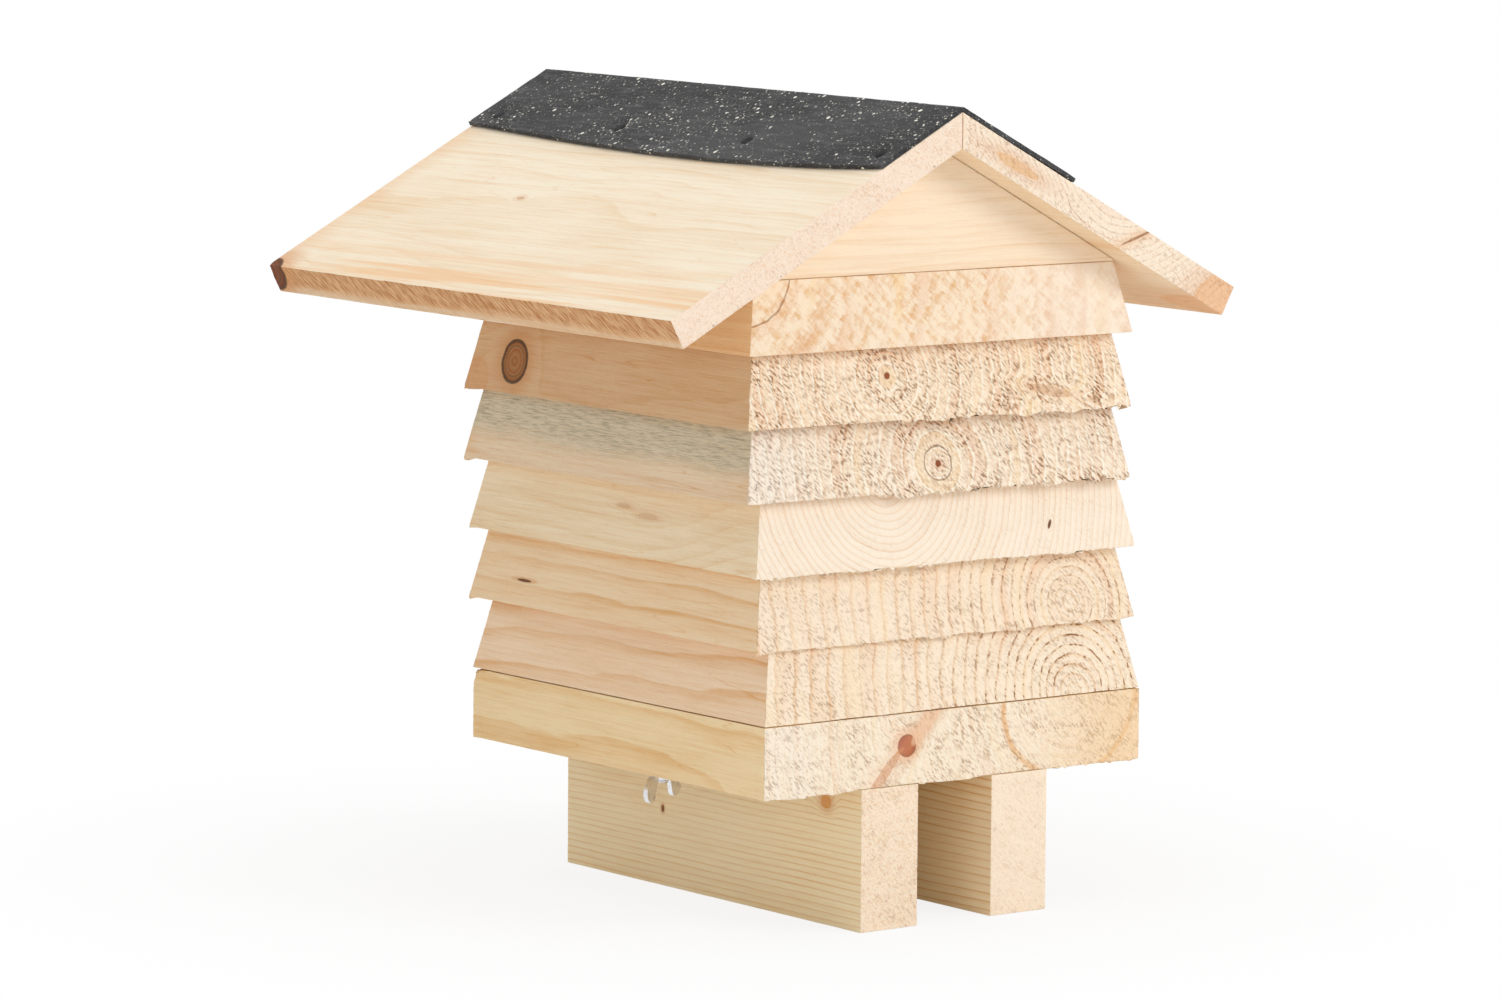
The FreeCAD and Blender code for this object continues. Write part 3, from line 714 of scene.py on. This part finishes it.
def thick_sheet(top, under):
    """A closed sheet from two grids of points, one above the other."""
    shape = bmesh.new()
    upper = [[shape.verts.new(point) for point in row] for row in top]
    lower = [[shape.verts.new(point) for point in row] for row in under]
    rows, columns = len(upper), len(upper[0])
    for i in range(rows - 1):
        for j in range(columns - 1):
            shape.faces.new((upper[i][j], upper[i + 1][j], upper[i + 1][j + 1], upper[i][j + 1]))
            shape.faces.new((lower[i][j], lower[i][j + 1], lower[i + 1][j + 1], lower[i + 1][j]))
    rim = ([(i, 0) for i in range(rows)]
           + [(rows - 1, j) for j in range(1, columns)]
           + [(i, columns - 1) for i in range(rows - 2, -1, -1)]
           + [(0, j) for j in range(columns - 2, 0, -1)])
    for (i, j), (k, m) in zip(rim, rim[1:] + rim[:1]):
        shape.faces.new((upper[i][j], upper[k][m], lower[k][m], lower[i][j]))
    return shape


def roof_axes():
    """The ridge's own axes: the turn in plan, the ridge line's X, the two ends in Y, the boards' peak."""
    turn = Matrix.Rotation(turn_of("ridge_felt"), 4, "Z")
    shape = clean_copy("ridge_felt")
    corners = [turn.inverted() @ vertex.co for vertex in shape.verts]
    shape.free()
    top = max(corner.z for corner in corners)
    ridge_x = np.mean([corner.x for corner in corners if corner.z > top - 0.01 * MM])
    near, far = min(corner.y for corner in corners), max(corner.y for corner in corners)
    return turn, ridge_x, near, far, top - FELT_THICKNESS / math.cos(ROOF_PITCH)


def slope_normal(side):
    return Vector((side * math.sin(ROOF_PITCH), 0, math.cos(ROOF_PITCH)))


def felt_nail_heads(turn):
    """Side and head centre of each felt nail, in the ridge's own axes."""
    heads = []
    for corners in islands("felt_nails"):
        local = [turn.inverted() @ corner for corner in corners]
        side = -1 if np.mean([corner.x for corner in local]) < RIDGE_X else 1
        heights = [corner.dot(slope_normal(side)) for corner in local]
        crown = [corner for corner, height in zip(local, heights) if height > max(heights) - 0.01 * MM]
        heads.append((side, sum(crown, Vector()) / len(crown)))
    return heads


ROOF_TURN, RIDGE_X, RIDGE_NEAR, RIDGE_FAR, RIDGE_TOP = roof_axes()
NAIL_HEADS = felt_nail_heads(ROOF_TURN)


def lay_felt(material):
    """The strip follows both slopes, with a bowed left edge, small swells and a dimple at each nail.

    A station is a side and a share of that side's reach; side 0 is the fold, with a share of its turn.
    """
    length = RIDGE_FAR - RIDGE_NEAR
    stations = ([(-1, share) for share in np.linspace(1, 0.04, 26)]
                + [(0, turn) for turn in np.linspace(-1, 1, 7)]
                + [(1, share) for share in np.linspace(0.03, 1, 32)])
    top, under = [], []
    for step in np.linspace(0, 1, 121):
        bow = (LEFT_REACH + LEFT_BOW * math.sin(math.pi * step ** 0.8)) * MM
        right = (RIGHT_REACH + RIGHT_WANDER * math.sin(step * 7 + 1)) * MM
        top_row, under_row = [], []
        for side, share in stations:
            reach = {-1: bow, 0: 0.0, 1: right}[side] * (share if side else 0)
            tilt = (side if side else share) * ROOF_PITCH
            normal = Vector((math.sin(tilt), 0, math.cos(tilt)))
            spot = Vector((side * reach * math.cos(ROOF_PITCH), 0, -reach * math.sin(ROOF_PITCH)))
            spot += Vector((RIDGE_X, RIDGE_NEAR + length * step, RIDGE_TOP))
            if step in (0, 1):
                spot.y += 0.25 * MM * noise.noise(spot * 400) * (1 if step else -1)
            swell = SWELL * (1 + noise.noise(spot * 38)) * (share if side else 0) ** 2
            gaps = [spot - head for nail_side, head in NAIL_HEADS if nail_side == side]
            spread = [(gap - normal * gap.dot(normal)).length / DIMPLE_WIDTH for gap in gaps]
            dimple = min(1, 1.35 * sum(math.exp(-far ** 4) for far in spread))
            swell *= 1 - dimple
            rough = 0.09 * noise.noise(spot * 260) + 0.12 * noise.noise(spot * 90)
            skin = FELT_TOP + swell + rough - DIMPLE_DEPTH * dimple
            under_row.append(ROOF_TURN @ (spot + normal * ((UNDERSIDE + swell) * MM)))
            top_row.append(ROOF_TURN @ (spot + normal * (skin * MM)))
        top.append(top_row)
        under.append(under_row)
    shape = thick_sheet(top, under)
    piece = finished("ridge_felt_laid", shape, "ridge_felt", material, crease=50)


# ---- Metalwork -------------------------------------------------------------------------------

def turned_grid(shape, rings, place):
    """A closed solid from rings of points from its foot to its top, with flat ends."""
    made = [[shape.verts.new(place @ Vector(point)) for point in ring] for ring in rings]
    count = len(made[0])
    for lower, upper in zip(made, made[1:]):
        for i in range(count):
            j = (i + 1) % count
            shape.faces.new((lower[i], lower[j], upper[j], upper[i]))
    shape.faces.new(made[0][::-1])
    shape.faces.new(made[-1])


def ring(radius, height, count):
    """One round ring, in mm; radius may be a function of the angle."""
    points = []
    for number in range(count):
        angle = 2 * math.pi * number / count
        size = radius(angle) if callable(radius) else radius
        points.append((size * math.cos(angle) * MM, size * math.sin(angle) * MM, height * MM))
    return points


NAIL_SUNK = 1.55 * MM
NAIL_OUTLINE = [(0.5, -12.8), (1.2, -10.6), (1.2, -0.9), (2.5, -0.75), (2.95, -0.5), (2.9, -0.25),
                (2.4, -0.08), (1.2, 0.0), (0.3, 0.02)]


def clout_nails(material):
    """Flat-headed nails, each a radius and a height at a time from its point, driven into the felt."""
    shape = bmesh.new()
    for side, head in NAIL_HEADS:
        lean = Matrix.Rotation(side * ROOF_PITCH, 4, "Y")
        sunk = head - slope_normal(side) * NAIL_SUNK
        place = ROOF_TURN @ Matrix.Translation(sunk) @ lean
        turned_grid(shape, [ring(radius, height, 20) for radius, height in NAIL_OUTLINE], place)
    finished("felt_nails_clouts", shape, "felt_nails", material, crease=50)


THREAD_PITCH = 1.0
THREAD_LENGTH = 42.0
THREAD_DEPTH = 0.52
THREAD_RUNOUT = 3.0
BOLT_RADIUS = 2.95
HEAD_HEIGHT = 3.6
HEAD_RADIUS = 8.0
HEAD_RIM = 0.35
NECK_LENGTH = 4.0
NECK_HALF = 3.0
NECK_CORNER = 3.85
BOLT_SIDES = 32


def coach_bolt(side, material):
    """Cup head, square neck, plain shank and a rolled thread, as one turned solid."""
    node = "coach_bolt_" + side
    low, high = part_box(node)
    collar = (high.z - low.z) * 1000 - HEAD_HEIGHT
    rings = []
    for height in np.arange(0.0, THREAD_LENGTH, THREAD_PITCH / 7):
        start = min(1.0, 0.55 + height * 0.3)
        fade = min(1.0, (THREAD_LENGTH - height) / THREAD_RUNOUT)

        def screw(angle, height=height, start=start, fade=fade):
            share = (height / THREAD_PITCH - angle / (2 * math.pi)) % 1.0
            groove = max(0.0, 1 - abs(share - 0.5) * 2.6)
            return (BOLT_RADIUS - THREAD_DEPTH * groove * fade) * (0.82 + 0.18 * start)
        rings.append((screw, height))

    def square(angle):
        return min(NECK_CORNER, NECK_HALF / max(abs(math.cos(angle)), abs(math.sin(angle))))
    rings += [(BOLT_RADIUS, THREAD_LENGTH), (BOLT_RADIUS, collar - NECK_LENGTH - 0.6),
              (square, collar - NECK_LENGTH), (square, collar),
              (HEAD_RADIUS - 0.3, collar), (HEAD_RADIUS, collar + HEAD_RIM)]
    for share in np.linspace(0.12, 0.985, 12):
        angle = share * math.pi / 2
        rise = (HEAD_HEIGHT - HEAD_RIM) * math.sin(angle)
        rings.append((HEAD_RADIUS * math.cos(angle), collar + HEAD_RIM + rise))
    shape = bmesh.new()
    middle = middle_of(node)
    turned_grid(shape, [ring(radius, height, BOLT_SIDES) for radius, height in rings],
                Matrix.Translation((middle.x, middle.y, low.z)))
    finished(node + "_threaded", shape, node, material, crease=34)


def washer(side, material):
    """The washer with both its rims rounded."""
    node = "washer_" + side
    shape = clean_copy(node)
    rims = [edge for edge in shape.edges if edge.calc_face_angle(0) > math.radians(60)]
    bmesh.ops.bevel(shape, geom=rims, offset=0.28 * MM, segments=3, profile=0.5, affect="EDGES")
    finished(node + "_pressed", shape, node, material, crease=40)


CASTING_CELL = 0.28 * MM


def wing_nut(side, material):
    """The nut's hub and wings run together and softened like a casting."""
    node = "wing_nut_" + side
    shape = clean_copy(node)
    mesh = bpy.data.meshes.new(node + "_rough")
    shape.to_mesh(mesh)
    shape.free()
    rough = bpy.data.objects.new(node + "_rough", mesh)
    bpy.context.scene.collection.objects.link(rough)
    skin = rough.modifiers.new("skin", "REMESH")
    skin.mode = "VOXEL"
    skin.voxel_size = CASTING_CELL
    soften = rough.modifiers.new("soften", "SMOOTH")
    soften.factor = 0.5
    soften.iterations = 6
    result = rough.evaluated_get(bpy.context.evaluated_depsgraph_get())
    cast = bmesh.new()
    cast.from_mesh(result.to_mesh())
    result.to_mesh_clear()
    bpy.data.objects.remove(rough)
    bpy.data.meshes.remove(mesh)
    finished(node + "_cast", cast, node, material, crease=60)


zinc = plated("bright_zinc", tint(238, 239, 241), tint(206, 208, 211), 0.3)
passivated = plated("passivated_steel", tint(206, 190, 140), tint(168, 150, 106), 0.3)
# The nail steel is darker than plain steel: partly the nails' own dull colour, partly painted shade of the
# sunk holes the felt nails sit in.
dull_steel_and_painted_shade = plated("dull_nail_steel_and_painted_shade", tint(44, 44, 46), tint(24, 24, 26), 0.55)
lay_felt(felt_finish())
clout_nails(dull_steel_and_painted_shade)
for side in ("left", "right"):
    coach_bolt(side, zinc)
    washer(side, zinc)
    wing_nut(side, zinc)
for node, material in (("rail_screws", passivated), ("gable_screws", passivated), ("roof_nails", dull_steel_and_painted_shade)):
    frame["nodes"][node].data.materials.clear()
    frame["nodes"][node].data.materials.append(material)


# ---- Studio --------------------------------------------------------------------------------

VIEW_YAW = math.radians(37.155)
VIEW_PITCH = math.radians(6.892)
VIEW_ROLL = math.radians(0.433)
VIEW_DISTANCE = 3.0043
VIEW_AIM = Vector((0.0016, -0.0024, 0.1629))
LENS = 167.46
AMBIENT = 0.57

# Each lamp: where it hangs, what it is aimed at, its width in metres and its power in watts.
LAMPS = {
    "key": ((1.5, -2.3, 1.5), (0, 0, 0.16), 1.4, 34),
    "overhead": ((-0.3, 0.2, 2.4), (0, 0, 0.2), 1.8, 19),
    "low_fill": ((-2.1, -1.0, 0.5), (0, 0, 0.05), 1.0, 3.7),
}


def set_camera():
    """A long lens, turned by the view's yaw, tipped down by its pitch and rolled a little."""
    ahead = Vector((math.sin(VIEW_YAW) * math.cos(VIEW_PITCH), math.cos(VIEW_YAW) * math.cos(VIEW_PITCH),
                    -math.sin(VIEW_PITCH)))
    side = ahead.cross(Vector((0, 0, 1))).normalized()
    up = side.cross(ahead)
    rolled_side = side * math.cos(VIEW_ROLL) + up * math.sin(VIEW_ROLL)
    rolled_up = up * math.cos(VIEW_ROLL) - side * math.sin(VIEW_ROLL)
    data = bpy.data.cameras.new("camera")
    data.lens = LENS
    data.sensor_width = 36
    camera = bpy.data.objects.new("camera", data)
    bpy.context.scene.collection.objects.link(camera)
    turn = Matrix((rolled_side, rolled_up, -ahead)).transposed()
    camera.matrix_world = Matrix.Translation(VIEW_AIM - ahead * VIEW_DISTANCE) @ turn.to_4x4()
    bpy.context.scene.camera = camera


def soft_lamp(name, place, aim, width, power):
    data = bpy.data.lights.new(name, "AREA")
    data.shape = "SQUARE"
    data.size = width
    data.energy = power
    lamp = bpy.data.objects.new(name, data)
    lamp.location = place
    lamp.rotation_euler = (Vector(aim) - Vector(place)).to_track_quat("-Z", "Y").to_euler()
    bpy.context.scene.collection.objects.link(lamp)


def seen_rays(bench):
    """1 for what the camera sees straight, in a gloss or through glass."""
    path = bench.node("ShaderNodeLightPath")
    return path.out("Is Camera Ray").larger(path.out("Is Glossy Ray")).larger(path.out("Is Transmission Ray"))


def floor_finish():
    """Pale floor that keeps a soft shadow near the hive and goes white further out."""
    bench = new_bench("pale_floor")
    spot = bench.node("ShaderNodeTexCoord")
    split = bench.node("ShaderNodeSeparateXYZ", None, [spot.out("Object")])
    x, y = split.out("X"), split.out("Y")
    reach = (x * x + y * y).root()
    white_share = reach.ramp(0.14, 0.42, 0.84, 1.0) * seen_rays(bench)
    board = bench.node("ShaderNodeBsdfDiffuse", None, {"Color": (0.88, 0.885, 0.895, 1)})
    glow = bench.node("ShaderNodeEmission", None, {"Color": (1, 1, 1, 1), "Strength": 1.0})
    both = bench.node("ShaderNodeMixShader", None, [white_share, board, glow])
    bench.node("ShaderNodeOutputMaterial", None, {"Surface": both})
    return bench.owner


def lay_floor():
    shape = bmesh.new()
    bmesh.ops.create_grid(shape, x_segments=8, y_segments=8, size=12.0)
    mesh = bpy.data.meshes.new("studio_floor")
    shape.to_mesh(mesh)
    shape.free()
    mesh.materials.append(floor_finish())
    floor = bpy.data.objects.new("studio_floor", mesh)
    bpy.context.scene.collection.objects.link(floor)


def set_world():
    """Plain white where it is seen, and a softer light on the hive from all round."""
    world = bpy.data.worlds.new("studio_world")
    bpy.context.scene.world = world
    sky = Bench(world)
    strength = seen_rays(sky) * (1.0 - AMBIENT) + AMBIENT
    background = sky.node("ShaderNodeBackground", None, {"Color": (1.0, 1.0, 1.0, 1), "Strength": strength})
    sky.node("ShaderNodeOutputWorld", None, {"Surface": background})


set_camera()
lay_floor()
set_world()
for name, setting in LAMPS.items():
    soft_lamp(name, *setting)
bpy.context.scene.view_settings.view_transform = "Standard"
